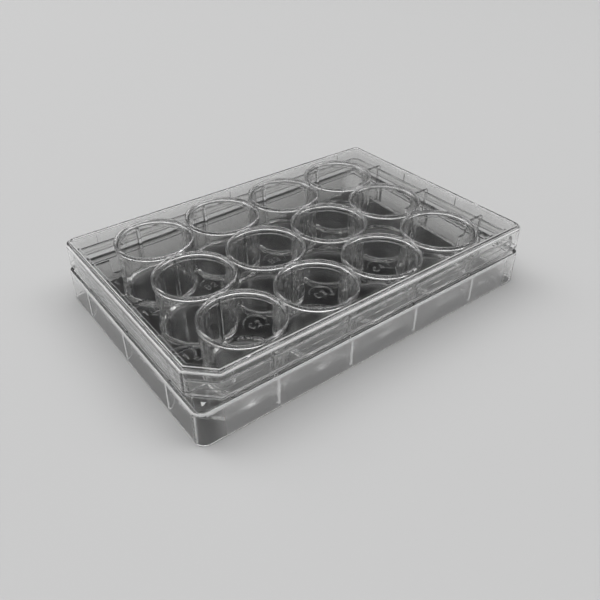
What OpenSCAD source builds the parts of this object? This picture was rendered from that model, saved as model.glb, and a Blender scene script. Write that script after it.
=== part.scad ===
// Twelve-well culture plate with its loose lid, both moulded in clear polystyrene.
// X runs along the rows (column 1 to 4), Y across them (row C to row A), Z up.
// The origin is on the surface that the skirt stands on, at the middle of the footprint.

/* [Plate body] */
// Length of the skirt, the standard plate footprint
plate_l = 127.76; // [125:0.01:160]
// Width of the skirt, the standard plate footprint
plate_w = 85.48; // [83:0.01:110]
// Height of the ledge that the skirt hangs from
ledge_h = 11.6; // [9:0.1:15]
// Thickness of the ledge
ledge_t = 1.2; // [0.8:0.1:2]
// Wall of the skirt
skirt_t = 1.2; // [0.8:0.1:1.6]
// Radius of the skirt's corners
corner_r = 3.3; // [2:0.1:6]
// How far the inner frame wall ends below the wells' rims
frame_drop = 2.7; // [1:0.1:4]
// Thickness of the inner frame wall
frame_t = 1.1; // [0.8:0.1:1.5]
// Top of the floor web that joins the wells
floor_z = 4.1; // [3:0.1:6]
// Thickness of the floor web
floor_t = 1.2; // [0.8:0.1:1.6]

/* [Wells] */
// Number of columns along X
columns = 4; // [1:1:4]
// Number of rows along Y
rows = 3; // [1:1:3]
// Distance between neighbouring wells, both ways
pitch = 26; // [25.8:0.1:26.2]
// Bore of a well at its mouth
well_d_top = 22.7; // [18:0.1:23]
// How much a well's wall leans in from its mouth to its floor
well_draft = 0.25; // [0:0.05:0.5]
// Wall of a well
well_t = 1.0; // [0.7:0.1:1.2]
// Height of the wells' rims above the surface
rim_z = 19.9; // [19:0.1:24]
// How far the rim's collar stands out of the well's wall
collar_out = 0.4; // [0.1:0.05:0.5]
// Height of the rim's collar
collar_h = 1.5; // [0.5:0.1:3]
// Height of a well's inner floor above the surface
well_floor_z = 2.5; // [2:0.1:4]
// Thickness of a well's bottom
well_bottom_t = 1.3; // [0.8:0.1:1.5]

/* [Webs and gussets] */
// Thickness of the webs between wells and to the frame
web_t = 1.0; // [0.6:0.1:1.6]
// How far the webs end below the wells' rims
web_drop = 1.3; // [0.5:0.1:4]
// How far the low step of the long webs, beside the well, lies below the rims
web_step_drop = 6.4; // [4:0.1:9]
// Gap between a well and the high part of a long web
web_step_gap = 3.2; // [2:0.1:5]
// Thickness of the gussets between skirt and frame
gusset_t = 0.9; // [0.6:0.1:1.6]
// Height of a gusset's foot above the surface
gusset_z = 1.5; // [1:0.1:4]

/* [Lid] */
// How far the lid stands in from the skirt at each end
lid_inset_x = 0.68; // [0.3:0.02:2]
// How far the lid stands in from the skirt at each long side
lid_inset_y = 0.34; // [0.3:0.02:2]
// Wall of the lid's sides
lid_wall = 1.1; // [0.8:0.1:1.4]
// Thickness of the lid's top panel
lid_panel_t = 1.0; // [0.7:0.1:1.6]
// Gap between the ledge and the lid's bottom edge
lid_lift = 2.0; // [0.8:0.1:3]
// Corner that is cut off the lid and the frame, along each side
corner_cut = 7.3; // [5:0.1:10]
// Depth of the rings under the panel, which rest on the wells' rims
ring_depth = 0.5; // [0.3:0.1:1]
// Width of the rings under the panel
ring_width = 0.9; // [0.5:0.1:1.1]
// Height of the raised rings on top of the panel
top_ring_h = 0.5; // [0.2:0.1:0.8]
// Width of the raised rings on top of the panel
top_ring_w = 0.7; // [0.4:0.1:1]
// Flat shoulder between the lid's edge and its stacking ridge
shoulder_w = 1.3; // [1:0.1:2]
// Width of the stacking ridge
ridge_w = 1.3; // [0.8:0.1:2]
// Height of the stacking ridge
ridge_h = 0.8; // [0.4:0.1:1.2]
// Running gap between the lid's sides and the frame
lid_gap = 0.7; // [0.6:0.1:1]
// Play between a centring nib of the lid and the frame
nib_play = 0.3; // [0.1:0.1:0.4]
// Width of a centring nib
nib_w = 0.8; // [0.5:0.1:1.5]
// How far a centring nib reaches down past the frame's top
nib_lap = 0.6; // [0.2:0.1:1]

/* [Hidden] */
// Overlap that makes two joined shapes one solid.
joint = 0.05;
// Sides of a round shape.
round_fn = 96;

lid_l = plate_l - 2 * lid_inset_x;
lid_w = plate_w - 2 * lid_inset_y;
// The frame stands inside the lid, with the running gap all round.
frame_l = lid_l - 2 * (lid_wall + lid_gap);
frame_w = lid_w - 2 * (lid_wall + lid_gap);
// The frame's corner cut keeps the same wall and gap on the slanting face.
cut_inset = (2 - sqrt(2)) * (lid_wall + lid_gap);
frame_cut = corner_cut - cut_inset;

// Heights of the frame, the webs and the lid's edge, down from the rims or up from the ledge.
frame_z = rim_z - frame_drop;
web_z = rim_z - web_drop;
web_step_z = rim_z - web_step_drop;
lid_edge_z = ledge_h + lid_lift;

well_d_bottom = well_d_top - 2 * well_draft;
well_r_top = well_d_top / 2 + well_t;
well_r_bottom = well_d_bottom / 2 + well_t;
collar_r = well_r_top + collar_out;
well_x = [for (i = [0 : 1 : columns - 1]) (i - (columns - 1) / 2) * pitch];
well_y = [for (j = [0 : 1 : rows - 1]) (j - (rows - 1) / 2) * pitch];

// The lid's panel is carried by its rings on the wells' rims.
panel_z = rim_z + ring_depth;
lid_top_z = panel_z + lid_panel_t;

// A length of wall that is cut inside a round well wall ends this far from the well's axis.
bury_r = well_d_top / 2 + well_t / 2;

// Rectangle on X and Y with round corners.
module rounded_rect(length, width, radius) {
    square([length - 2 * radius, width], center = true);
    square([length, width - 2 * radius], center = true);
    for (x = [-1, 1], y = [-1, 1])
        translate([x * (length / 2 - radius), y * (width / 2 - radius)])
            circle(radius, $fn = round_fn);
}

// The same rectangle with its corner at -X, -Y cut off.
module cut_rect(length, width, radius, cut) {
    difference() {
        rounded_rect(length, width, radius);
        polygon([
            [-length / 2 - 1, -width / 2 - 1],
            [-length / 2 + cut + 1, -width / 2 - 1],
            [-length / 2 - 1, -width / 2 + cut + 1],
        ]);
    }
}

// Slab of a cut rectangle that is inset all round from length, width and cut.
module cut_slab(length, width, radius, cut, inset, z0, z1) {
    translate([0, 0, z0])
        linear_extrude(z1 - z0)
            cut_rect(length - 2 * inset, width - 2 * inset, max(radius - inset, 0.5),
                cut - (2 - sqrt(2)) * inset);
}

// Puts a copy of the children on each well's axis.
module at_wells() {
    for (x = well_x, y = well_y)
        translate([x, y, 0]) children();
}

// Outer skirt with the ledge that closes it at the top.
module skirt() {
    difference() {
        linear_extrude(ledge_h) rounded_rect(plate_l, plate_w, corner_r);
        translate([0, 0, -1])
            linear_extrude(ledge_h - ledge_t + 1)
                rounded_rect(plate_l - 2 * skirt_t, plate_w - 2 * skirt_t, corner_r - skirt_t);
        cut_slab(frame_l, frame_w, corner_r, frame_cut, frame_t / 2, -1, ledge_h + 1);
    }
}

// Tray: the frame wall that stands up inside the lid, and the floor web.
module tray() {
    difference() {
        cut_slab(frame_l, frame_w, corner_r, frame_cut, 0, floor_z - floor_t, frame_z);
        cut_slab(frame_l, frame_w, corner_r, frame_cut, frame_t, floor_z, frame_z + 1);
    }
}

// Solid outside of one well with its collar.
module well_outside() {
    z0 = well_floor_z - well_bottom_t;
    translate([0, 0, z0])
        cylinder(h = rim_z - z0, r1 = well_r_bottom, r2 = well_r_top, $fn = round_fn);
    translate([0, 0, rim_z - collar_h])
        cylinder(h = collar_h, r = collar_r, $fn = round_fn);
}

// Hollow of one well, with the draft that lets it off its core.
module well_bore() {
    depth = rim_z - well_floor_z;
    translate([0, 0, well_floor_z])
        cylinder(h = depth, r1 = well_d_bottom / 2, r2 = well_d_top / 2, $fn = round_fn);
    translate([0, 0, rim_z - joint])
        cylinder(h = 1, r = well_d_top / 2, $fn = round_fn);
}

// Wall of thickness web_t along X from x0 to x1, up to the height z1.
module web(x0, x1, z1) {
    translate([x0, -web_t / 2, floor_z - joint])
        cube([x1 - x0, web_t, z1 - floor_z + joint]);
}

// Web from a well at the origin through the frame wall, whose outer face is reach away along X.
// A long web is stepped down beside the well.
module frame_web(reach) {
    step_x = well_r_top + web_step_gap;
    if (reach > step_x + frame_t + web_t) {
        web(bury_r, reach, web_step_z);
        web(step_x, reach, web_z);
    } else {
        web(bury_r, reach, web_z);
    }
}

// Web that joins a well at the origin to its neighbour at +X.
module neighbour_web() {
    web(bury_r, pitch - bury_r, web_z);
}

// Webs between neighbouring wells, and from the outer wells to the frame.
module webs() {
    reach_x = frame_l / 2 - max(well_x);
    reach_y = frame_w / 2 - max(well_y);
    for (y = well_y) {
        for (i = [0 : 1 : columns - 2])
            translate([well_x[i], y, 0]) neighbour_web();
        for (side = [0, 1])
            mirror([side, 0, 0])
                translate([max(well_x), y, 0]) frame_web(reach_x);
    }
    for (x = well_x) {
        for (j = [0 : 1 : rows - 2])
            translate([x, well_y[j], 0]) rotate([0, 0, 90]) neighbour_web();
        for (side = [0, 1])
            mirror([0, side, 0])
                translate([x, max(well_y), 0]) rotate([0, 0, 90]) frame_web(reach_y);
    }
}

// Gusset under the ledge, in the plane of X and Z, from the frame at x0 to the skirt at x1.
module gusset(x0, x1) {
    foot = x1 - x0;
    translate([0, gusset_t / 2, 0])
        rotate([90, 0, 0])
            linear_extrude(gusset_t)
                polygon([
                    [x0 - joint, ledge_h - joint],
                    [x0 - joint, gusset_z + 2 * foot],
                    [x0 + foot / 2, gusset_z + foot / 2],
                    [x1 + joint, gusset_z],
                    [x1 + joint, ledge_h - joint],
                ]);
}

// Gussets on the line of each row and each column.
module gussets() {
    for (side = [0, 1]) {
        mirror([side, 0, 0])
            for (y = well_y)
                translate([0, y, 0]) gusset(frame_l / 2, plate_l / 2 - skirt_t);
        mirror([0, side, 0])
            for (x = well_x)
                translate([x, 0, 0]) rotate([0, 0, 90]) gusset(frame_w / 2, plate_w / 2 - skirt_t);
    }
}

// The whole plate, one moulding.
module plate() {
    color("gainsboro", 0.45)
        difference() {
            union() {
                skirt();
                tray();
                at_wells() well_outside();
                webs();
                gussets();
            }
            at_wells() well_bore();
        }
}

// Small upright ribs inside the lid that keep it central on the frame.
module nibs() {
    inner_l = lid_l / 2 - lid_wall;
    inner_w = lid_w / 2 - lid_wall;
    nib_x = (max(well_x) - min(well_x) + pitch) / 2;
    nib_y = (max(well_y) - min(well_y)) / 4;
    nib_out = lid_gap - nib_play;
    nib_z = frame_z - nib_lap;
    nib_h = panel_z + joint - nib_z;
    for (x = [-1, 0, 1], side = [-1, 1])
        translate([x * nib_x, side * (inner_w - (nib_out - joint) / 2), nib_z + nib_h / 2])
            cube([nib_w, nib_out + joint, nib_h], center = true);
    for (y = [-1, 1], side = [-1, 1])
        translate([side * (inner_l - (nib_out - joint) / 2), y * nib_y, nib_z + nib_h / 2])
            cube([nib_out + joint, nib_w, nib_h], center = true);
}

// Flat ring of a given width inside the radius of the collar.
module flat_ring(width, height) {
    difference() {
        cylinder(h = height, r = collar_r, $fn = round_fn);
        translate([0, 0, -1])
            cylinder(h = height + 2, r = collar_r - width, $fn = round_fn);
    }
}

// The whole lid, one moulding that rests loose on the wells' rims.
module lid() {
    ridge_in = shoulder_w + ridge_w;
    color("whitesmoke", 0.35) {
        difference() {
            cut_slab(lid_l, lid_w, corner_r, corner_cut, 0, lid_edge_z, lid_top_z);
            cut_slab(lid_l, lid_w, corner_r, corner_cut, lid_wall, lid_edge_z - 1, panel_z);
        }
        difference() {
            cut_slab(lid_l, lid_w, corner_r, corner_cut, shoulder_w,
                lid_top_z - joint, lid_top_z + ridge_h);
            cut_slab(lid_l, lid_w, corner_r, corner_cut, ridge_in,
                lid_top_z - 1, lid_top_z + ridge_h + 1);
        }
        at_wells()
            translate([0, 0, rim_z]) flat_ring(ring_width, ring_depth + joint);
        at_wells()
            translate([0, 0, lid_top_z - joint]) flat_ring(top_ring_w, top_ring_h + joint);
        nibs();
    }
}

plate();
lid();
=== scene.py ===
"""Twelve-well culture plate with its loose lid, both moulded in clear polystyrene.

The plate and the lid are each one closed surface: rounded outlines and turned profiles are worked out as
arrays, every one a closed solid, and those of one moulding are united. All sizes are in metres, in the
part's own frame: X along the rows, Y across them, Z up, the origin under the middle of the footprint.
"""
import math

import bmesh
import bpy
import numpy as np
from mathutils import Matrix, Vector


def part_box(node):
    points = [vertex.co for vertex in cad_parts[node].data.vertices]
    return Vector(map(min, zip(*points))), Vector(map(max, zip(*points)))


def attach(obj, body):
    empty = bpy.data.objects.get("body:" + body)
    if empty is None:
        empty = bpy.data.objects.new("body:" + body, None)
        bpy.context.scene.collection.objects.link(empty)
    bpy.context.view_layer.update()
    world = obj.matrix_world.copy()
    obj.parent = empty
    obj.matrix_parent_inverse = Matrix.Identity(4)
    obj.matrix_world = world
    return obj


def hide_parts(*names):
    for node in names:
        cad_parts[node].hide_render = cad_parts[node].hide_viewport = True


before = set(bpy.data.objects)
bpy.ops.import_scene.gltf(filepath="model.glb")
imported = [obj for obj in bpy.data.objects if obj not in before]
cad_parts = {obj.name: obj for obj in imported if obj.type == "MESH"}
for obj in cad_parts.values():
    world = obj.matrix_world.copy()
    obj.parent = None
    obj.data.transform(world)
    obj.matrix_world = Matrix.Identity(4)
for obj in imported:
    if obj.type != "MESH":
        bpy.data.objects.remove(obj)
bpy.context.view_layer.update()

bl_info = {
    "name": "Twelve-Well Plate",
    "version": (1, 0, 0),
    "blender": (4, 5, 0),
    "location": "View3D > Sidebar > Well Plate",
    "description": "Builds a clear twelve-well culture plate with its lid, and a plain studio round it",
    "category": "Add Mesh",
}

MM = 0.001
BODY = "root"

# Steps of a small rounded edge and of an eighth turn at a corner, and sides of a well.
EDGE_STEPS = 4
CORNER_STEPS = 6
WELL_SIDES = 96
# Steps of a gusset's curved lower edge, of a curved stroke of a sign, of its round end and of its arc.
GUSSET_STEPS = 12
STROKE_STEPS = 12
END_STEPS = 6
ARC_STEPS = 36
# A flat face keeps a narrow band of its own beside each rounded edge, so that its shading stays flat.
BAND = 0.04 * MM
# Points closer than this are one point.
WELD = 0.0005 * MM
# Edges turned by more than this stay crisp.
CRISP = math.radians(32)
# A cut of this share of a corner's radius is the plain round corner itself.
PLAIN_CUT = 2 - math.sqrt(2)
TAN_EIGHTH = math.tan(math.pi / 8)

PLATE_HIGH = np.array(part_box("plate")[1])
LID_LOW, LID_HIGH = np.array(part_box("lid"))


# ---------------------------------------------------------------------------------------------------------
# Lines


def unit(vectors):
    """Vectors along the last axis at length 1; a vector of no length stays as it is."""
    size = np.linalg.norm(vectors, axis=-1, keepdims=True)
    return vectors / np.where(size > 0, size, 1)


def rounded(points, radii, closed=False):
    """A line in a plane whose corners are turned into arcs.

    With 2a the angle between the two sides at a corner, the arc touches each side at radius / tan(a) from
    the corner, its centre is at radius / sin(a) along the bisector, and its points are the two end radii
    blended by sines. One more point lies a band's width out along each side. A radius of 0 keeps the
    corner, and a corner that is nearly straight is kept too.
    """
    straight = math.radians(89.5)
    points = np.asarray(points, float)
    radii = np.broadcast_to(np.asarray(radii, float), len(points)).copy()
    if not closed:
        radii[[0, -1]] = 0
    back = unit(np.roll(points, 1, axis=0) - points)
    ahead = unit(np.roll(points, -1, axis=0) - points)
    half = np.arccos(np.clip(np.sum(back * ahead, axis=1), -1, 1)) / 2
    radii[half > straight] = 0
    half[radii == 0] = math.pi / 4
    touch = (radii / np.tan(half))[:, None]
    centre = points + unit(back + ahead) * (radii / np.sin(half))[:, None]
    turn = (math.pi - 2 * half)[:, None, None]
    t = np.linspace(0, 1, EDGE_STEPS + 1)[None, :, None]
    start, end = points + back * touch, points + ahead * touch
    arc = (
        np.sin((1 - t) * turn) * (start - centre)[:, None]
        + np.sin(t * turn) * (end - centre)[:, None]
    ) / np.sin(turn) + centre[:, None]
    line = np.concatenate(
        [(start + back * BAND)[:, None], arc, (end + ahead * BAND)[:, None]], axis=1
    )
    line[radii == 0] = points[radii == 0][:, None]
    line = line.reshape(-1, 2)
    keep = np.linalg.norm(line - np.roll(line, 1, axis=0), axis=1) > WELD
    keep[0] |= not closed
    return line[keep]


def outline(half_x, half_y, radius, cut=0.0, cut_radius=None):
    """Closed outline of a rectangle with round corners, the corner at -X, -Y cut off at 45 degrees.

    Each corner is a cut whose two ends are eighth turns. Its length along each side is cut, and at
    (2 - sqrt 2) times the radius the two eighths meet, which is the plain round corner. So every outline
    has as many points as any other, and a wall can run from a plain one to a cut one.
    """
    radii = np.array([radius, radius, radius if cut_radius is None else cut_radius, radius])
    cuts = np.maximum(PLAIN_CUT * radii, [0, 0, cut, 0])
    flat = math.sqrt(2) * (cuts - PLAIN_CUT * radii)
    near, far = radii, cuts + radii * TAN_EIGHTH
    signs = np.array([[1, 1], [-1, 1], [-1, -1], [1, -1]])
    even = np.array([True, False, True, False])
    halves = np.array([half_x, half_y])
    line = []
    for eighth in (0, 1):
        first = even if eighth == 0 else ~even
        inward = np.where(first[:, None], np.stack([near, far], 1), np.stack([far, near], 1))
        centre = signs * (halves - inward)
        angle = (np.arange(4) * 2 + eighth)[:, None] * math.pi / 4
        angle = angle + np.linspace(0, math.pi / 4, CORNER_STEPS + 1)
        away = np.stack([np.cos(angle), np.sin(angle)], -1)
        along = np.stack([-np.sin(angle), np.cos(angle)], -1)
        arc = centre[:, None] + radii[:, None, None] * away
        side, middle = BAND, np.minimum(BAND, flat / 3)[:, None, None]
        before, after = (side, middle) if eighth == 0 else (middle, side)
        line += [arc[:, :1] - along[:, :1] * before, arc, arc[:, -1:] + along[:, -1:] * after]
    return np.concatenate(line, axis=1).reshape(-1, 2)


# ---------------------------------------------------------------------------------------------------------
# Closed solids: an array of points, and a list of arrays of faces, one for each number of sides


def grid_faces(rows, columns, copies=1, wrap_rows=False):
    """Quads of a grid that closes on itself along its columns, for copies that follow each other."""
    i, j = np.meshgrid(np.arange(rows if wrap_rows else rows - 1), np.arange(columns), indexing="ij")
    below, right = (i + 1) % rows, (j + 1) % columns
    quads = np.stack([i, below, below, i], -1) * columns + np.stack([j, j, right, right], -1)
    starts = np.arange(copies) * rows * columns
    return (starts[:, None, None] + quads.reshape(1, -1, 4)).reshape(-1, 4)


def loft(rings):
    """Solid through outlines of equally many points, with the first and the last one filled in."""
    rings = np.asarray(rings)
    rows, columns = rings.shape[:2]
    first = np.arange(columns)
    last = first[::-1] + (rows - 1) * columns
    return rings.reshape(-1, 3), [grid_faces(rows, columns), np.stack([first, last])]


def turned(profile, centres):
    """A closed profile of radius and height carried round the vertical axis at each centre.

    Point (r, z) goes to (x + r cos a, y + r sin a, z) for a from 0 to a whole turn. Where the profile
    runs along the axis its points meet there.
    """
    angle = np.linspace(0, 2 * math.pi, WELL_SIDES, endpoint=False)
    ring = np.stack([np.cos(angle), np.sin(angle), np.zeros(WELL_SIDES)], -1)
    single = profile[:, None, :1] * ring + profile[:, None, 1:] * [0, 0, 1]
    centres = np.column_stack([centres, np.zeros(len(centres))])
    points = centres[:, None, None] + single
    return points.reshape(-1, 3), [grid_faces(len(profile), WELL_SIDES, len(centres), wrap_rows=True)]


def slab(line, thickness, edge, origin, along, up, across):
    """Flat solid of a closed outline, with both rims rounded to the radius edge.

    The outline, anticlockwise in the axes along and up, is carried through the thickness. At the angle a
    of a rim it stands in by edge (1 - sin a) and lies edge (1 - cos a) inside the face. Each of its sides
    moves in square to itself, so with n and m the inward normals of the two sides at a point, the point
    moves along (n + m) / (1 + n.m).
    """
    side = unit(np.roll(line, -1, axis=0) - line)
    after = np.stack([-side[:, 1], side[:, 0]], -1)
    before = np.roll(after, 1, axis=0)
    inward = (before + after) / (1 + np.sum(before * after, axis=1, keepdims=True))
    a = np.linspace(0, math.pi / 2, EDGE_STEPS)
    inset = np.concatenate([[edge + BAND], edge * (1 - np.sin(a)), [0]])
    depth = np.concatenate([[0], edge * (1 - np.cos(a)), [edge + BAND]]) - thickness / 2
    inset, depth = np.concatenate([inset, inset[::-1]]), np.concatenate([depth, -depth[::-1]])
    flat = line + inset[:, None, None] * inward
    axes = np.array([along, up], float)
    rings = np.asarray(origin, float) + flat @ axes
    rings = rings + depth[:, None, None] * np.asarray(across, float)
    return loft(rings)


def joined(solids):
    """Several solids as one."""
    points, faces, start = [], [], 0
    for corners, blocks in solids:
        points.append(corners)
        faces += [start + block for block in blocks]
        start += len(corners)
    return np.concatenate(points), faces


def cleaned(mesh):
    """Merges coinciding points, drops faces of no area and splits faces of more than four sides.

    It turns the faces outwards and returns the number of edges that are left open.
    """
    work = bmesh.new()
    work.from_mesh(mesh)
    bmesh.ops.remove_doubles(work, verts=work.verts, dist=WELD)
    bmesh.ops.dissolve_degenerate(work, dist=WELD, edges=work.edges)
    bmesh.ops.triangulate(work, faces=[face for face in work.faces if len(face.verts) > 4])
    bmesh.ops.recalc_face_normals(work, faces=work.faces)
    open_edges = sum(not edge.is_manifold for edge in work.edges)
    work.to_mesh(mesh)
    work.free()
    return open_edges


def mesh_object(name, solid):
    """Object of a solid, cleaned."""
    points, faces = solid
    mesh = bpy.data.meshes.new(name)
    mesh.from_pydata(points.tolist(), [], [face for block in faces for face in block.tolist()])
    cleaned(mesh)
    made = bpy.data.objects.new(name, mesh)
    bpy.context.scene.collection.objects.link(made)
    return made


def combine(target, steps):
    """Unites the target with solids or cuts them out of it, in order, and checks that it stays closed."""
    for operation, solid in steps:
        tool = mesh_object("tool", solid)
        change = target.modifiers.new(operation, "BOOLEAN")
        change.operation, change.solver, change.object = operation, "MANIFOLD", tool
        graph = bpy.context.evaluated_depsgraph_get()
        result = bpy.data.meshes.new_from_object(target.evaluated_get(graph))
        target.modifiers.clear()
        target.data = result
        bpy.data.objects.remove(tool)
        if cleaned(result):
            raise RuntimeError(f"{target.name} is not closed after {operation}")


# ---------------------------------------------------------------------------------------------------------
# Sizes and finishes


def length(name, description, millimetres):
    """Property for a length, given in millimetres and held in metres."""
    return bpy.props.FloatProperty(
        name=name, description=description, default=millimetres * MM, min=0.0, precision=5,
        subtype="DISTANCE", unit="LENGTH",
    )


def colour(name, description, value):
    """Property for a colour."""
    return bpy.props.FloatVectorProperty(
        name=name, description=description, default=value, size=4, min=0.0, max=1.0, subtype="COLOR",
    )


def factor(name, description, value, high=1.0):
    """Property for a plain number."""
    return bpy.props.FloatProperty(name=name, description=description, default=value, min=0.0, max=high)


def power(name, description, watts):
    """Property for a lamp's power."""
    return bpy.props.FloatProperty(name=name, description=description, default=watts, min=0.0, unit="POWER")


class PlateSizes(bpy.types.PropertyGroup):
    """Sizes of the plate itself."""

    pitch: length("Pitch", "Distance between neighbouring wells, both ways", 26.0)
    ledge_height: length("Ledge height", "Top of the ledge that the skirt hangs from", 11.6)
    ledge_wall: length("Ledge wall", "Thickness of the ledge", 1.2)
    skirt_wall: length("Skirt wall", "Wall of the skirt", 1.2)
    corner_radius: length("Corner radius", "Radius of the round corners", 3.3)
    draft: length("Draft", "How far the skirt leans in over its height", 0.12)
    frame_height: length("Frame height", "Top of the frame wall under the lid", 17.2)
    frame_wall: length("Frame wall", "Thickness of the frame wall at its top", 1.1)
    frame_lean: length("Frame lean", "How far the frame's inner side leans in down to the floor", 0.65)
    frame_step: length("Frame step", "Height of the small step on the frame's outside", 15.2)
    frame_step_out: length("Frame step depth", "How far the frame stands out below its step", 0.12)
    floor_top: length("Floor top", "Top of the floor web that joins the wells", 4.1)
    floor_wall: length("Floor wall", "Thickness of the floor web", 1.2)
    mouth: length("Well mouth", "Bore of a well at its mouth", 22.7)
    base: length("Well base", "Bore of a well at its floor", 22.2)
    well_wall: length("Well wall", "Wall of a well", 1.0)
    well_floor: length("Well floor", "Height of a well's inner floor", 2.5)
    well_bottom: length("Well bottom", "Thickness of a well's bottom", 1.3)
    collar_out: length("Collar depth", "How far the rim's collar stands out of the wall", 0.4)
    collar_height: length("Collar height", "Height of the rim's collar", 1.5)
    web_wall: length("Web wall", "Thickness of the webs between wells and to the frame", 1.0)
    web_height: length("Web height", "Top of the webs", 18.6)
    web_step_height: length("Web step", "Top of the low step of the long webs", 13.5)
    web_step_gap: length("Web step gap", "Gap between a well and the high part of a long web", 3.2)
    gusset_wall: length("Gusset wall", "Thickness of the gussets under the ledge", 0.9)
    gusset_foot: length("Gusset foot", "Height of a gusset's foot", 1.5)
    gusset_spring: length("Gusset spring", "Height at which a gusset springs from inside the frame", 7.6)
    mark_height: length("Mark height", "How far the coordinates stand up", 0.2)
    letter_size: length("Letter size", "Height of the coordinates' signs", 2.65)
    stroke_width: length("Stroke width", "Width of the coordinates' strokes", 0.48)
    ring_radius: length("Ring radius", "Radius of the arc round each coordinate", 4.05)


class LidSizes(bpy.types.PropertyGroup):
    """Sizes of the lid."""

    wall: length("Wall", "Wall of the lid's sides", 1.1)
    panel: length("Panel", "Thickness of the top panel", 1.0)
    draft: length("Draft", "How far the sides lean in over their height", 0.1)
    corner_radius: length("Corner radius", "Radius of the round corners", 3.3)
    corner_cut: length("Corner cut", "Corner that is cut off, along each side", 7.3)
    cut_radius: length("Cut radius", "Radius at the two ends of the cut corner", 1.2)
    shoulder: length("Shoulder", "Flat between the lid's edge and its stacking ridge", 1.3)
    ridge_width: length("Ridge width", "Width of the stacking ridge", 1.3)
    ridge_height: length("Ridge height", "Height of the stacking ridge", 0.8)
    ring_width: length("Ring width", "Width of the rings under the panel", 0.9)
    ring_depth: length("Ring depth", "Depth of the rings under the panel", 0.5)
    bead_width: length("Bead width", "Width of the raised rings on the panel", 0.7)
    bead_height: length("Bead height", "Height of the raised rings on the panel", 0.5)
    gap: length("Gap", "Running gap between the lid's sides and the frame", 0.7)
    nib_out: length("Nib depth", "How far a centring nib stands out", 0.4)
    nib_width: length("Nib width", "Width of a centring nib", 0.8)
    nib_lap: length("Nib lap", "How far a nib reaches down past the frame's top", 0.6)


class PlateFinish(bpy.types.PropertyGroup):
    """Finish of the polystyrene."""

    body_colour: colour("Plate colour", "What the plate's plastic lets through", (0.975, 0.975, 0.972, 1))
    lid_colour: colour("Lid colour", "What the lid's plastic lets through", (0.985, 0.985, 0.983, 1))
    index: factor("Index", "Refractive index of the plastic", 1.59, high=2.5)
    polish: factor("Polish", "Roughness of the polished faces", 0.02)
    frost: factor("Frost", "Roughness of the skirt's textured long sides", 0.3)
    mark_frost: factor("Mark frost", "Roughness of the raised coordinates", 0.45)
    side_milk: factor("Side milk", "Share of its light that a textured long side scatters", 0.25)
    mark_milk: factor("Mark milk", "Share of its light that a raised coordinate scatters", 0.9)
    # Painted highlight: the share of its light that a pale streak on a well wall scatters where it is seen
    # edge on.
    streak_highlight_share: factor("Streak milk", "Share of its light that a well wall's streak scatters", 0.7)
    # Painted highlight: the share of its light that a rounded edge scatters, so that it shows as a pale
    # line.
    edge_highlight_share: factor("Edge milk", "Share of its light that a rounded edge scatters", 0.6)


class StudioLook(bpy.types.PropertyGroup):
    """The plain studio."""

    floor_colour: colour("Floor colour", "Colour of the floor", (0.55, 0.55, 0.55, 1))
    dome_colour: colour("Dome colour", "Colour of the dark ring above the horizon", (0.02, 0.02, 0.022, 1))
    horizon_glow: factor("Horizon glow", "Brightness of the surroundings up to the horizon", 0.56)
    overhead_glow: factor("Overhead glow", "Brightness of the surroundings overhead", 1.2, high=10.0)
    overhead_power: power("Overhead lamp", "Power of the large soft lamp overhead", 14.0)
    back_power: power("Back lamp", "Power of the soft lamp behind the plate's left end", 17.0)
    side_power: power("Side lamp", "Power of the soft lamp at the plate's front right", 10.0)
    camera_azimuth: bpy.props.FloatProperty(
        name="Azimuth", description="Where the camera looks from, round the upright axis from the front",
        default=math.radians(-37.5), subtype="ANGLE", unit="ROTATION")
    camera_height: bpy.props.FloatProperty(
        name="Elevation", description="How far the camera looks down",
        default=math.radians(36.36), subtype="ANGLE", unit="ROTATION")
    camera_distance: length("Distance", "From the camera to the footprint's middle", 220.1)
    camera_lens: bpy.props.FloatProperty(
        name="Lens", description="Focal length on a 36 mm sensor", default=37.91, min=1.0, unit="CAMERA")


# ---------------------------------------------------------------------------------------------------------
# The plate


def well_places(pitch):
    """Axes of the wells, row by row: four columns along X, three rows along Y."""
    x = (np.arange(4) - 1.5) * pitch
    y = (np.arange(3) - 1) * pitch
    return x, y, np.stack(np.meshgrid(x, y), -1).reshape(-1, 2)


def frame_half(lid):
    """Half of the frame's outer length and width, and its corner cut: inside the lid's wall and the gap."""
    inset = lid.wall + lid.gap
    return LID_HIGH[:2] - inset, lid.corner_cut - PLAIN_CUT * inset


def rings_of(profile, half, radius, cut=0.0, cut_radius=None):
    """Outlines for a profile of insets and heights: each inset moves a rounded rectangle in all round."""
    least_radius = 0.4 * MM
    rings = []
    for inset, z in profile:
        corner = [max(radius - inset, least_radius)]
        if cut:
            corner += [cut - PLAIN_CUT * inset, max(cut_radius - inset, least_radius)]
        line = outline(*(half - inset), *corner)
        rings.append(np.column_stack([line, np.full(len(line), z)]))
    return rings


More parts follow.
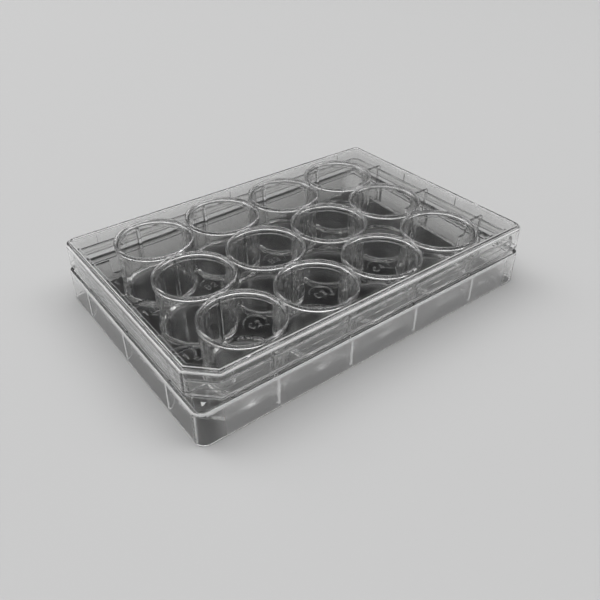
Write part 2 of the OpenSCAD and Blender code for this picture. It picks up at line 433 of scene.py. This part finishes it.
def body_shell(s, lid):
    """Skirt, ledge, frame wall and floor web, as one wall that is carried round the plate.

    Its section runs from the floor web up the frame's inside, over its top and down to the ledge, out to
    the skirt, down and round its foot, up inside to the ledge and down the frame's outside to the floor
    web's underside.
    """
    half, cut = frame_half(lid)
    lean = s.frame_wall + s.frame_lean
    step, out = s.frame_step, -s.frame_step_out
    # How far each section runs on along a flat past its last corner, so that the next one meets it there.
    web_run, deck_run, deck_rest, roof_run, roof_rest = np.array([0.9, 0.7, 0.9, 0.55, 0.8]) * MM
    fillet, top_edge, step_slope, step_edge = np.array([0.5, 0.28, 0.15, 0.08]) * MM
    ledge_fillet, ledge_edge, foot_edge, leg_fillet = np.array([0.35, 0.45, 0.3, 0.6]) * MM
    upper = rounded(
        [(lean + web_run, s.floor_top), (lean, s.floor_top), (s.frame_wall, s.frame_height),
         (0, s.frame_height), (0, step + step_slope), (out, step), (out, s.ledge_height),
         (out - deck_run, s.ledge_height)],
        [0, fillet, top_edge, top_edge, step_edge, step_edge, ledge_fillet, 0],
    )
    under = s.ledge_height - s.ledge_wall
    skirt = rounded(
        [(deck_rest, s.ledge_height), (s.draft, s.ledge_height), (0, 0), (s.skirt_wall, 0),
         (s.skirt_wall + s.draft, under), (s.skirt_wall + roof_run, under)],
        [0, ledge_edge, foot_edge, foot_edge, ledge_fillet, 0],
    )
    bottom = s.floor_top - s.floor_wall
    leg_top, leg_foot, bottom_run = np.array([0.5, 0.8, 1.6]) * MM
    lower = rounded(
        [(leg_top - roof_rest, under), (leg_top, under), (leg_foot, bottom),
         (leg_foot + bottom_run, bottom)],
        [0, ledge_fillet, leg_fillet, 0],
    )
    return loft(
        rings_of(upper, half, lid.corner_radius, cut, lid.cut_radius)
        + rings_of(skirt, PLATE_HIGH[:2], s.corner_radius)
        + rings_of(lower, half, lid.corner_radius, cut, lid.cut_radius)
    )


def well_outsides(s, centres):
    """Solid outsides of the wells: a flat foot, a flare on the floor web, the wall and the collar."""
    foot, top = s.base / 2 + s.well_wall, s.mouth / 2 + s.well_wall
    rim = PLATE_HIGH[2]
    low = s.well_floor - s.well_bottom
    flare_out, flare_depth, flare_sink, collar_slope = np.array([0.65, 0.5, 0.02, 0.1]) * MM
    foot_edge, flare_fillet, rim_edge = np.array([0.5, 0.6, 0.3]) * MM
    collar_fillet, collar_edge = np.array([0.1, 0.12]) * MM
    flare, flare_top = foot + flare_out, s.floor_top - flare_sink
    under, collar = rim - s.collar_height, top + s.collar_out
    profile = rounded(
        [(0, low), (foot, low), (foot, flare_top - flare_depth), (flare, flare_top - flare_depth),
         (flare, flare_top), (foot, flare_top), (top, under), (collar, under + collar_slope), (collar, rim),
         (0, rim)],
        [0, foot_edge, 0, 0, 0, flare_fillet, collar_fillet, collar_edge, rim_edge, 0], closed=True,
    )
    return turned(profile, centres)


def well_bores(s, centres):
    """Hollows of the wells: a flat floor, a small fillet, the drafted wall and a rounded mouth."""
    over, mouth_out, clear_above, floor_fillet, mouth_edge = np.array([0.01, 0.3, 1, 0.7, 0.28]) * MM
    rim = PLATE_HIGH[2] + over
    mouth = s.mouth / 2
    profile = rounded(
        [(0, s.well_floor), (s.base / 2, s.well_floor), (mouth, rim), (mouth + mouth_out, rim),
         (mouth + mouth_out, rim + clear_above), (0, rim + clear_above)],
        [0, floor_fillet, mouth_edge, 0, 0, 0], closed=True,
    )
    return turned(profile, centres)


def webs(s, lid):
    """Upright webs on every row and column line, between the wells and out to the frame's outer face."""
    half, _ = frame_half(lid)
    x, y, _ = well_places(s.pitch)
    buried = s.mouth / 2 + s.well_wall / 2
    wall = s.mouth / 2 + s.well_wall
    floor_sink, outer_rise = np.array([0.4, 0.08]) * MM
    low = s.floor_top - floor_sink
    proud = s.frame_step_out + outer_rise
    # Insets of a web's buried outer end at its foot and at the ledge, and how deep it goes into the ledge.
    foot_inset, ledge_inset, ledge_sink = np.array([1.35, 0.5, 0.3]) * MM
    round_over, step_lean, top_corner, step_fillet = np.array([0.25, 0.3, 0.5, 0.8]) * MM
    made = []

    def well_to_well(start, end):
        """Outline of a web from one well's wall to the next one's."""
        line = [(start, low), (end, low), (end, s.web_height), (start, s.web_height)]
        return rounded(line, 0, closed=True)

    def well_to_frame(reach):
        """Outline of a web from a well's wall out to the frame; a long one has a low step by the well."""
        sunk = s.ledge_height - ledge_sink
        outer = [(reach - foot_inset, low), (reach - ledge_inset, sunk), (reach + proud, sunk),
                 (reach + proud, s.web_height)]
        step = wall + s.web_step_gap
        inner, radii = [(buried, s.web_height)], [0]
        if reach > step + 2 * s.frame_wall:
            inner = [(step, s.web_height), (step - step_lean, s.web_step_height),
                     (buried, s.web_step_height)]
            radii = [top_corner, step_fillet, 0]
        return rounded([*outer, *inner, (buried, low)], [0, 0, 0, top_corner, *radii, 0], closed=True)

    for axis, (lines, places) in enumerate([(y, x), (x, y)]):
        along, across = np.eye(3)[axis], np.eye(3)[1 - axis]
        for offset in lines:
            for place in places[:-1]:
                made.append(slab(well_to_well(buried, s.pitch - buried), s.web_wall, round_over,
                                 along * place + across * offset, along, (0, 0, 1), across))
            for side in (-1, 1):
                reach = half[axis] - places[-1]
                made.append(slab(well_to_frame(reach), s.web_wall, round_over,
                                 side * along * places[-1] + across * offset,
                                 side * along, (0, 0, 1), across))
    return joined(made)


def gussets(s, lid):
    """Thin gussets under the ledge on every row and column line; their lower edge is a quarter ellipse."""
    half, _ = frame_half(lid)
    x, y, _ = well_places(s.pitch)
    frame_inset, round_over = np.array([0.82, 0.15]) * MM
    wall_sink, frame_sink, ledge_sink = np.array([0.5, 0.2, 0.5]) * MM
    top = s.ledge_height - ledge_sink
    t = np.linspace(0, math.pi / 2, GUSSET_STEPS + 1)
    made = []
    for axis, (lines, reach) in enumerate([(y, half[0]), (x, half[1])]):
        along, across = np.eye(3)[axis], np.eye(3)[1 - axis]
        outer = PLATE_HIGH[axis] - s.skirt_wall
        inner = reach - frame_inset
        curve = np.column_stack([
            outer - (outer - inner) * np.cos(t),
            s.gusset_spring - (s.gusset_spring - s.gusset_foot) * np.sin(t),
        ])
        line = np.concatenate([
            curve, [(outer + wall_sink, s.gusset_foot), (outer + wall_sink, top),
                    (inner - frame_sink, top), (inner - frame_sink, s.gusset_spring)],
        ])
        for offset in lines:
            for side in (-1, 1):
                made.append(slab(line, s.gusset_wall, round_over, across * offset,
                                 side * along, (0, 0, 1), across))
    return joined(made)


def bow(middle, reach, start, end, steps=STROKE_STEPS):
    """Line along an ellipse between two angles in degrees: middle + (reach_x cos a, reach_y sin a)."""
    a = np.radians(np.linspace(start, end, steps + 1))
    return np.array(middle) + np.stack([np.cos(a), np.sin(a)], -1) * reach


def sign_strokes():
    """Strokes of the signs used, each sign in a box 0.52 wide and 1 high."""
    upper = bow((0.24, 0.76), (0.25, 0.24), 90, -90)
    lower = bow((0.24, 0.26), (0.28, 0.26), 90, -90)
    two = bow((0.26, 0.73), (0.26, 0.27), 165, -38)
    return {
        "A": [[(0, 0), (0.26, 1)], [(0.52, 0), (0.26, 1)], [(0.1, 0.34), (0.42, 0.34)]],
        "B": [[(0, 0), (0, 1)], [(0, 1), *upper, (0, 0.52)], [(0, 0.52), *lower, (0, 0)]],
        "C": [bow((0.29, 0.5), (0.29, 0.5), 46, 314)],
        "1": [[(0.3, 0), (0.3, 1)], [(0.06, 0.76), (0.3, 1)]],
        "2": [[*two, (0.02, 0)], [(0.02, 0), (0.52, 0)]],
        "3": [bow((0.25, 0.76), (0.25, 0.24), 150, -90), bow((0.25, 0.26), (0.27, 0.26), 90, -150)],
        "4": [[(0.4, 0), (0.4, 1)], [(0.4, 1), (0, 0.3)], [(0, 0.3), (0.52, 0.3)]],
    }


def ribbon(line, width):
    """Closed outline of a band of the given width along an open line, with round ends."""
    tangent = unit(np.gradient(line, axis=0))
    side = np.stack([-tangent[:, 1], tangent[:, 0]], -1) * width / 2
    a = np.linspace(0, math.pi, END_STEPS + 1)[1:-1, None]
    end = line[-1] + np.cos(a) * -side[-1] + np.sin(a) * tangent[-1] * width / 2
    start = line[0] + np.cos(a) * side[0] - np.sin(a) * tangent[0] * width / 2
    return np.concatenate([line - side, end, (line + side)[::-1], start])


def marks(s, lid):
    """Each well's coordinate on the floor web beside it, with an arc round it and a short leader line.

    The strokes of a sign run into each other, so they come as three solids: the first strokes of all signs
    with the arcs and leaders, the second ones and the third ones.
    """
    half, _ = frame_half(lid)
    x, y, _ = well_places(s.pitch)
    sink, frame_gap, arc_rise, round_over = np.array([0.1, 0.6, 0.5, 0.05]) * MM
    depth = s.mark_height + sink
    level = s.floor_top + s.mark_height - depth / 2
    arc = bow((0, arc_rise), (s.ring_radius, s.ring_radius), -30, 155, ARC_STEPS)
    # The leader in parts of the arc's radius, and each sign's left edge and foot in parts of its height.
    leader_points = 5
    leader = np.linspace([0.54, -0.53], [0.84, -0.74], leader_points) * s.ring_radius
    letter_left, number_left, foot = -0.92, 0.04, -0.5
    limit = half - s.frame_wall - s.frame_lean - s.ring_radius - frame_gap
    strokes = sign_strokes()
    layers = [[], [], []]
    for row, cy in enumerate(y[::-1]):
        for column, cx in enumerate(x):
            place = np.array([cx - s.pitch / 2, cy + s.pitch / 2, level])
            place[:2] = np.clip(place[:2], -limit, limit)
            lines = [(0, arc), (0, leader)]
            for sign, left in (("ABC"[row], letter_left), (str(column + 1), number_left)):
                for layer, stroke in enumerate(strokes[sign]):
                    lines.append((layer, (np.array(stroke) + (left, foot)) * s.letter_size))
            for layer, line in lines:
                layers[layer].append(slab(ribbon(line, s.stroke_width), depth, round_over, place,
                                          (1, 0, 0), (0, 1, 0), (0, 0, 1)))
    return [joined(layer) for layer in layers]


def index_mark(s, lid):
    """Small raised triangle on the ledge's deck outside the cut corner."""
    half, cut = frame_half(lid)
    outside, radius, corner, height, round_over = np.array([1.65, 0.95, 0.12, 0.4, 0.05]) * MM
    middle = -half + cut / 2 - outside
    tips = np.radians([225, 345, 105])
    line = rounded(np.stack([np.cos(tips), np.sin(tips)], -1) * radius, corner, closed=True)
    return slab(line, height, round_over, (*middle, s.ledge_height), (1, 0, 0), (0, 1, 0), (0, 0, 1))


# ---------------------------------------------------------------------------------------------------------
# The lid


def lid_shell(s):
    """Panel, stacking ridge, shoulder and sides, as one wall that is carried round the lid."""
    low, high = LID_LOW[2], LID_HIGH[2]
    top = high - s.ridge_height
    under = top - s.panel
    ridge_in, inner = s.shoulder + s.ridge_width, s.wall + s.draft
    run_on, ridge_lean, ridge_fillet, ridge_edge = np.array([0.9, 0.06, 0.15, 0.28]) * MM
    shoulder_edge, foot_edge, panel_fillet = np.array([0.5, 0.25, 0.45]) * MM
    profile = rounded(
        [(ridge_in + run_on, top), (ridge_in, top), (ridge_in - ridge_lean, high),
         (s.shoulder + ridge_lean, high), (s.shoulder, top), (s.draft, top), (0, low), (s.wall, low),
         (inner, under), (inner + run_on, under)],
        [0, ridge_fillet, ridge_edge, ridge_edge, ridge_fillet, shoulder_edge, foot_edge, foot_edge,
         panel_fillet, 0],
    )
    return loft(rings_of(profile, LID_HIGH[:2], s.corner_radius, s.corner_cut, s.cut_radius))


def ring_solids(outer, width, low, high, round_low, round_high, centres):
    """Flat rings on each centre, with their lower or upper edges rounded."""
    profile = rounded(
        [(outer - width, low), (outer, low), (outer, high), (outer - width, high)],
        [round_low, round_low, round_high, round_high], closed=True,
    )
    return turned(profile, centres)


def panel_rings(s, plate, centres):
    """Raised rings on the lid's panel and lower ones under it, all over the wells' rims."""
    outer = plate.mouth / 2 + plate.well_wall + plate.collar_out
    top = LID_HIGH[2] - s.ridge_height
    under = top - s.panel
    sink, rim_gap, bead_edge, ring_edge = np.array([0.3, 0.03, 0.25, 0.2]) * MM
    low = under - s.ring_depth + rim_gap
    return (
        ring_solids(outer, s.bead_width, top - sink, top + s.bead_height, 0, bead_edge, centres),
        ring_solids(outer, s.ring_width, low, under + sink, ring_edge, 0, centres),
    )


def nibs(s, plate):
    """Small upright ribs inside the lid's sides that keep it central on the frame."""
    inner = LID_HIGH[:2] - s.wall
    low = plate.frame_height - s.nib_lap
    high = LID_HIGH[2] - s.ridge_height - s.panel / 2
    sink, corner, round_over = np.array([0.5, 0.3, 0.15]) * MM
    side_reach = s.nib_width / 2
    line = rounded(
        [(-side_reach, -sink), (side_reach, -sink), (side_reach, s.nib_out), (-side_reach, s.nib_out)],
        [0, 0, corner, corner], closed=True,
    )
    made = []
    for axis, steps in enumerate([(-2, 0, 2), (-0.5, 0.5)]):
        along, inward, up = np.eye(3)[axis], np.eye(3)[1 - axis], np.eye(3)[2]
        for place in np.array(steps) * plate.pitch:
            for side in (-1, 1):
                origin = along * place + side * inward * inner[1 - axis] + up * (low + high) / 2
                made.append(slab(line, high - low, round_over, origin, along, -side * inward, up))
    return joined(made)


# ---------------------------------------------------------------------------------------------------------
# Materials


# Shares of a lamp's light that pass a face of the plate, of the lid, and of either where it grazes it.
PLATE_PASS = 0.55
LID_PASS = 0.9
GRAZING_PASS = 0.3
# From 0, square on, to 1, edge on: where the grazing share begins to come in.
GRAZING_START = 0.45

# Waves to the metre along X, Y and Z, and their height, of each grain.
MOULDED = (85, 85, 85), 0.000005
TEXTURED = (900, 900, 900), 0.00001
DRAWN = (600, 600, 40), 0.00007

# Share of the light that goes on through the skirt where a gusset meets it, and along its rims; the rest
# scatters as pale lines, a painted highlight.
GUSSET_HIGHLIGHT_CLEARNESS = 0.25
RIM_HIGHLIGHT_CLEARNESS = 0.4


def node(tree, kind, inputs=(), **settings):
    """New node of that kind with its settings; each input is a socket to link or a plain value."""
    made = tree.nodes.new("ShaderNode" + kind)
    for name, value in settings.items():
        setattr(made, name, value)
    for name, value in dict(inputs).items():
        if isinstance(value, bpy.types.NodeSocket):
            tree.links.new(value, made.inputs[name])
        else:
            made.inputs[name].default_value = value
    return made


def noise(tree, detail, scale, kind="POINT", turn=(0, 0, 0)):
    """Noise on the piece's own coordinates, which a mapping of that kind turns and scales."""
    place = node(tree, "TexCoord").outputs["Object"]
    mapping = {"Vector": place, "Rotation": turn, "Scale": scale}
    stretch = node(tree, "Mapping", mapping, vector_type=kind).outputs["Vector"]
    return node(tree, "TexNoise", {"Vector": stretch, "Scale": 1.0, "Detail": detail}).outputs["Fac"]


def maths(tree, operation, *values):
    """Result of an operation on sockets and plain numbers."""
    return node(tree, "Math", enumerate(values), operation=operation).outputs[0]


def faded(tree, source, start, end, first, last):
    """Value that follows a socket smoothly: first where the source is at start, last where it is at end."""
    ends = {"Value": source, "From Min": start, "From Max": end, "To Min": first, "To Max": last}
    return node(tree, "MapRange", ends, interpolation_type="SMOOTHSTEP").outputs["Result"]


def edge_on(tree):
    """From 0 where a face is seen square on to 1 where it is seen edge on."""
    return node(tree, "LayerWeight", {"Blend": 0.5}).outputs["Facing"]


def grey(value):
    """Colour of that brightness."""
    return value, value, value, 1


def polystyrene(name, through, index, roughness, grain=MOULDED, milk=0.0, lamp_share=PLATE_PASS):
    """Clear polystyrene that bends light, with the faint waves of a moulded face.

    The milk is the share of its light that a face scatters. Lamps reach what is behind it: for their rays
    it is transparent, less so the more steeply they graze it.
    """
    material = bpy.data.materials.new(name)
    material.use_nodes = True
    tree = material.node_tree
    tree.nodes.clear()
    scale, height = grain
    waves = noise(tree, detail=2.0, scale=scale)
    bump = node(tree, "Bump", {"Strength": 1.0, "Distance": height, "Height": waves})
    plastic = node(tree, "BsdfPrincipled", {
        "Base Color": through, "Roughness": roughness, "IOR": index,
        "Transmission Weight": 1.0 - milk, "Normal": bump.outputs["Normal"],
    })
    share = node(tree, "ValToRGB", {"Fac": edge_on(tree)})
    start, end = share.color_ramp.elements
    start.position, start.color = GRAZING_START, grey(lamp_share)
    end.color = grey(GRAZING_PASS)
    lamp_side = node(tree, "BsdfTransparent", {"Color": share.outputs["Color"]})
    is_lamp = node(tree, "LightPath").outputs["Is Shadow Ray"]
    mix = node(tree, "MixShader", {0: is_lamp, 1: plastic.outputs[0], 2: lamp_side.outputs[0]})
    node(tree, "OutputMaterial", {"Surface": mix.outputs[0]})
    return material


def drive(material, socket, value):
    """Links a value to a socket of the plastic itself."""
    nodes = material.node_tree.nodes
    plastic = next(item for item in nodes if item.type == "BSDF_PRINCIPLED")
    material.node_tree.links.new(value, plastic.inputs[socket])


def skirt_polystyrene(name, s, finish, frost, milk, axis, reach, first_gusset):
    """Clear polystyrene of a side of the skirt, with pale lines along gussets, ledge and foot, which are
    painted highlights.

    Along the axis (X or Y) it is textured: frost and milk fade out beyond the reach. A gusset stands at
    first_gusset and at every pitch from there.
    """
    fade_out = 7 * MM
    gusset_core, gusset_blur, gusset_end = np.array([0.2, 0.75, 0.3]) * MM
    ledge_blur, foot_core, foot_blur = np.array([0.2, 0.5, 0.9]) * MM
    material = polystyrene(name, finish.body_colour, finish.index, frost, TEXTURED)
    tree = material.node_tree
    split = node(tree, "SeparateXYZ", {0: node(tree, "TexCoord").outputs["Object"]})
    along, height = split.outputs[axis], split.outputs["Z"]
    distance = maths(tree, "ABSOLUTE", along)
    end = reach + fade_out
    drive(material, "Roughness", faded(tree, distance, reach, end, frost, finish.polish))

    from_gusset = maths(tree, "PINGPONG", maths(tree, "SUBTRACT", along, first_gusset), s.pitch / 2)
    beside = faded(tree, from_gusset, gusset_core, gusset_blur, GUSSET_HIGHLIGHT_CLEARNESS, 1)
    below = faded(tree, height, s.gusset_foot - gusset_end, s.gusset_foot + gusset_end, 1, 0)
    under = s.ledge_height - s.ledge_wall
    clear = faded(tree, distance, reach, end, 1 - milk, 1)
    # Painted highlights: pale scattering lines beside the gussets, along the ledge and at the foot.
    for line in (
        maths(tree, "MAXIMUM", beside, below),
        faded(tree, height, under - ledge_blur, under + ledge_blur, 1, RIM_HIGHLIGHT_CLEARNESS),
        faded(tree, height, foot_core, foot_blur, RIM_HIGHLIGHT_CLEARNESS, 1),
    ):
        clear = maths(tree, "MINIMUM", clear, line)
    drive(material, "Transmission Weight", clear)
    return material


def drawn_polystyrene(name, finish):
    """Clear polystyrene with a core pin's upright draw marks as faint bumps, and pale streaks where it is
    seen edge on: a painted highlight that stands in for light bent through the walls.
    """
    streak_size, streak_lean = (0.9 * MM, 0.9 * MM, 12 * MM), (0.3, 0.25, 0)
    streak_start, streak_full = 0.45, 0.56
    edge_start, edge_full = 0.3, 0.7
    material = polystyrene(name, finish.body_colour, finish.index, finish.polish, DRAWN)
    tree = material.node_tree
    streaks = noise(tree, detail=1.0, scale=streak_size, kind="TEXTURE", turn=streak_lean)
    # Painted highlight: pale streaks that scatter light where the wall is seen edge on.
    painted_streaks = maths(
        tree, "MULTIPLY",
        faded(tree, streaks, streak_start, streak_full, 0, 1),
        faded(tree, edge_on(tree), edge_start, edge_full, 0, finish.streak_highlight_share),
    )
    drive(material, "Transmission Weight", maths(tree, "SUBTRACT", 1.0, painted_streaks))
    return material


def plate_materials(s, finish):
    """The plate's materials: polished, long sides, coordinates, well walls, ends and rounded edges; the
    well walls, the skirt's lines and the rounded edges carry painted highlights.
    """
    clear = finish.body_colour, finish.index
    textured_reach = 2.1 * s.pitch
    return (
        polystyrene("polished_polystyrene", *clear, finish.polish),
        skirt_polystyrene("long_side_polystyrene", s, finish, finish.frost, finish.side_milk,
                          axis="X", reach=textured_reach, first_gusset=s.pitch / 2),
        polystyrene("frosted_marks", *clear, finish.mark_frost, TEXTURED, finish.mark_milk),
        drawn_polystyrene("drawn_polystyrene", finish),
        skirt_polystyrene("end_polystyrene", s, finish, finish.polish, 0.0,
                          axis="Y", reach=s.pitch, first_gusset=0.0),
        # Rounded edges with a painted highlight: they scatter part of their light as pale lines.
        polystyrene("edge_polystyrene", *clear, finish.polish, milk=finish.edge_highlight_share),
    )


def face_data(mesh):
    """Centres and normals of the faces."""
    centres = np.empty(len(mesh.polygons) * 3)
    normals = np.empty(len(mesh.polygons) * 3)
    mesh.polygons.foreach_get("center", centres)
    mesh.polygons.foreach_get("normal", normals)
    return centres.reshape(-1, 3), normals.reshape(-1, 3)


def rounded_edges(centre, normal, levels, reach):
    """Faces of the rounded edges near some levels: those that are neither flat nor upright."""
    upright, flat = 0.15, 0.98
    near = np.abs(centre[:, 2, None] - levels).min(axis=1) < reach
    slope = np.abs(normal[:, 2])
    return near & (slope > upright) & (slope < flat)


def plate_regions(mesh, s, centres):
    """Faces of each of the plate's materials after the first: sides, coordinates, walls, ends and edges."""
    centre, normal = face_data(mesh)
    facing, level, upright = 0.99, 0.9, 0.2
    skirt_slack, wall_slack, above_floor = np.array([0.02, 0.1, 0.5]) * MM
    floor_edge, outer_edge, edge_reach = np.array([0.35, 0.15, 0.3]) * MM

    on_skirt = np.abs(centre[:, :2]) > PLATE_HIGH[:2] - s.draft - skirt_slack
    end, side = (on_skirt & (np.abs(normal[:, :2]) > facing)).T
    above = centre[:, 2, None] - [s.floor_top, s.ledge_height]
    raised = np.abs(above - s.mark_height).min(axis=1) < 0.5 * s.mark_height
    raised &= normal[:, 2] > level
    # Well walls, which take the painted highlight streaks.
    from_axis = np.linalg.norm(centre[:, None, :2] - centres, axis=2).min(axis=1)
    wall = from_axis < s.mouth / 2 + s.well_wall + wall_slack
    wall &= from_axis > s.base / 2 - wall_slack
    wall &= (np.abs(normal[:, 2]) < upright) & (centre[:, 2] > s.well_floor + above_floor)
    # Rounded edges, which take the painted edge highlight.
    levels = (s.well_floor + floor_edge, s.ledge_height - outer_edge, s.frame_step,
              s.frame_height - outer_edge)
    return side, raised, wall, end, rounded_edges(centre, normal, levels, edge_reach)


def finish_piece(made, materials, regions):
    """Smooth shading with crisp edges, the first material all over and each other one on its faces."""
    mesh = made.data
    mesh.shade_smooth()
    mesh.set_sharp_from_angle(angle=CRISP)
    mesh.materials.clear()
    for material in materials:
        mesh.materials.append(material)
    index = np.zeros(len(mesh.polygons), dtype=np.int32)
    for slot, chosen in enumerate(regions, start=1):
        index[chosen] = slot
    mesh.polygons.foreach_set("material_index", index)


# ---------------------------------------------------------------------------------------------------------
# Operators


class WELLPLATE_OT_add_plate(bpy.types.Operator):
    """Adds the plate: skirt, frame, floor web, twelve wells, webs, gussets and coordinates"""

    bl_idname = "wellplate.add_plate"
    bl_label = "Add Plate"

    def execute(self, context):
        scene = context.scene
        sizes, lid, finish = scene.wellplate_plate, scene.wellplate_lid, scene.wellplate_finish
        _, _, centres = well_places(sizes.pitch)
        made = mesh_object("clear_well_plate", body_shell(sizes, lid))
        combine(made, [
            ("UNION", well_outsides(sizes, centres)),
            ("UNION", webs(sizes, lid)),
            ("UNION", gussets(sizes, lid)),
            ("DIFFERENCE", well_bores(sizes, centres)),
            *[("UNION", layer) for layer in marks(sizes, lid)],
            ("UNION", index_mark(sizes, lid)),
        ])
        finish_piece(made, plate_materials(sizes, finish), plate_regions(made.data, sizes, centres))
        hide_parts("plate")
        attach(made, BODY)
        return {"FINISHED"}


class WELLPLATE_OT_add_lid(bpy.types.Operator):
    """Adds the lid: panel with rings over the wells, stacking ridge, sides and centring nibs"""

    bl_idname = "wellplate.add_lid"
    bl_label = "Add Lid"

    def execute(self, context):
        scene = context.scene
        plate, sizes, finish = scene.wellplate_plate, scene.wellplate_lid, scene.wellplate_finish
        _, _, centres = well_places(plate.pitch)
        made = mesh_object("clear_lid", lid_shell(sizes))
        combine(made, [
            *[("UNION", rings) for rings in panel_rings(sizes, plate, centres)],
            ("UNION", nibs(sizes, plate)),
        ])
        clear = finish.lid_colour, finish.index, finish.polish
        shoulder_edge, edge_reach = 0.25 * MM, 0.27 * MM
        levels = LID_LOW[2], LID_HIGH[2] - sizes.ridge_height - shoulder_edge, LID_HIGH[2]
        # The lid's rounded edges get a painted highlight: they scatter part of their light as pale lines.
        finish_piece(made, (
            polystyrene("lid_polystyrene", *clear, lamp_share=LID_PASS),
            polystyrene("lid_edge_polystyrene", *clear, milk=finish.edge_highlight_share, lamp_share=LID_PASS),
        ), [rounded_edges(*face_data(made.data), levels, edge_reach)])
        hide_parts("lid")
        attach(made, BODY)
        return {"FINISHED"}


# A lamp's name, the property of its power, its width and depth, and its azimuth and height in degrees.
LAMPS = (
    ("overhead_lamp", "overhead_power", (2.2, 2.2), (150, 86)),
    ("back_lamp", "back_power", (1.6, 1.2), (118, 42)),
    ("side_lamp", "side_power", (1.4, 1.0), (-35, 45)),
)
LAMP_DISTANCE = 2.4
# Half of the floor's side, and how far it lies under the plate's foot.
FLOOR_HALF = 1.6
FLOOR_GAP = 0.02 * MM
# How far the camera is shifted to its right and up, across its view.
CAMERA_AIM = 0.66 * MM, -4.57 * MM
# Light goes through many faces here, and lamps reach what is behind them without caustics.
LIGHT_PATHS = {
    "max_bounces": 40,
    "transmission_bounces": 40,
    "glossy_bounces": 24,
    "diffuse_bounces": 3,
    "transparent_max_bounces": 96,
    "caustics_reflective": False,
    "caustics_refractive": False,
    "sample_clamp_indirect": 2.0,
    "use_adaptive_sampling": False,
}


def direction(azimuth, height):
    """Direction at an azimuth from +X and a height above the floor, in radians."""
    level = math.cos(height)
    return Vector((math.cos(azimuth) * level, math.sin(azimuth) * level, math.sin(height)))


def add_facing(name, data, out, distance, shift=(0, 0)):
    """Lamp or camera that lies out in that direction and faces the plate, shifted across its view."""
    turn = (-out).to_track_quat("-Z", "Y")
    made = bpy.data.objects.new(name, data)
    made.location = out * distance + turn @ Vector((*shift, 0))
    made.rotation_mode = "QUATERNION"
    made.rotation_quaternion = turn
    bpy.context.scene.collection.objects.link(made)
    return made


def studio_world(dome, horizon, overhead):
    """Pale up to a little above the horizon, dark in a ring above it and bright overhead.

    The dark ring makes the plastic's edges stand out, and the brightness overhead lights its rims.
    """
    world = bpy.data.worlds.new("studio")
    world.use_nodes = True
    tree = world.node_tree
    tree.nodes.clear()
    split = node(tree, "SeparateXYZ", {0: node(tree, "TexCoord").outputs["Generated"]})
    ramp = node(tree, "ValToRGB", {"Fac": split.outputs["Z"]})
    horizon_end, dome_start, dome_end, overhead_start = 0.2, 0.38, 0.71, 0.77
    stops = ramp.color_ramp.elements
    stops[0].position, stops[0].color = horizon_end, grey(horizon)
    stops[1].position, stops[1].color = dome_start, dome
    stops.new(dome_end).color = dome
    stops.new(overhead_start).color = grey(overhead)
    back = node(tree, "Background", {"Color": ramp.outputs["Color"]})
    node(tree, "OutputWorld", {"Surface": back.outputs[0]})
    return world


def floor_material(tint):
    """Even, matt paper."""
    material = bpy.data.materials.new("studio_floor")
    material.use_nodes = True
    paper = material.node_tree.nodes["Principled BSDF"]
    paper.inputs["Base Color"].default_value = tint
    paper.inputs["Roughness"].default_value = 0.9
    paper.inputs["Specular IOR Level"].default_value = 0.1
    return material


class WELLPLATE_OT_add_stage(bpy.types.Operator):
    """Adds the pale floor, the soft lamps, the studio's surroundings and the camera"""

    bl_idname = "wellplate.add_stage"
    bl_label = "Add Studio"

    def execute(self, context):
        scene = context.scene
        look = scene.wellplate_studio
        corners = np.array([(-1, -1), (1, -1), (1, 1), (-1, 1)]) * FLOOR_HALF
        corners = np.column_stack([corners, np.full(4, -FLOOR_GAP)])
        floor = mesh_object("studio_floor", (corners, [np.arange(4)[None]]))
        floor.data.materials.append(floor_material(look.floor_colour))

        for name, power_name, size, angles in LAMPS:
            data = bpy.data.lights.new(name, "AREA")
            data.shape, data.energy = "RECTANGLE", getattr(look, power_name)
            data.size, data.size_y = size
            add_facing(name, data, direction(*np.radians(angles)), LAMP_DISTANCE)
        scene.world = studio_world(look.dome_colour, look.horizon_glow, look.overhead_glow)

        data = bpy.data.cameras.new("camera")
        data.sensor_width, data.lens = 36.0, look.camera_lens
        data.clip_start, data.clip_end = 0.01, 50.0
        out = direction(look.camera_azimuth - math.pi / 2, look.camera_height)
        scene.camera = add_facing("camera", data, out, look.camera_distance, CAMERA_AIM)

        scene.view_settings.view_transform = "Standard"
        for name, value in LIGHT_PATHS.items():
            setattr(scene.cycles, name, value)
        return {"FINISHED"}


class WELLPLATE_PT_panel(bpy.types.Panel):
    """Lists the pieces that can be added and their sizes"""

    bl_idname = "WELLPLATE_PT_panel"
    bl_label = "Well Plate"
    bl_space_type = "VIEW_3D"
    bl_region_type = "UI"
    bl_category = "Well Plate"

    def draw(self, context):
        for operator in OPERATORS:
            self.layout.operator(operator.bl_idname)
        for name in GROUPS:
            box = self.layout.box()
            group = getattr(context.scene, name)
            for prop in type(group).__annotations__:
                box.prop(group, prop)


OPERATORS = (WELLPLATE_OT_add_plate, WELLPLATE_OT_add_lid, WELLPLATE_OT_add_stage)
GROUPS = {
    "wellplate_plate": PlateSizes,
    "wellplate_lid": LidSizes,
    "wellplate_finish": PlateFinish,
    "wellplate_studio": StudioLook,
}


def register():
    """Registers the classes and puts the property groups on the scene."""
    for item in (*GROUPS.values(), *OPERATORS, WELLPLATE_PT_panel):
        bpy.utils.register_class(item)
    for name, group in GROUPS.items():
        setattr(bpy.types.Scene, name, bpy.props.PointerProperty(type=group))


def unregister():
    """Takes away what register added."""
    for name in GROUPS:
        delattr(bpy.types.Scene, name)
    for item in reversed((*GROUPS.values(), *OPERATORS, WELLPLATE_PT_panel)):
        bpy.utils.unregister_class(item)


def main():
    """Builds the plate, the lid and the studio."""
    register()
    bpy.ops.wellplate.add_plate()
    bpy.ops.wellplate.add_lid()
    bpy.ops.wellplate.add_stage()


if __name__ == "__main__":
    main()
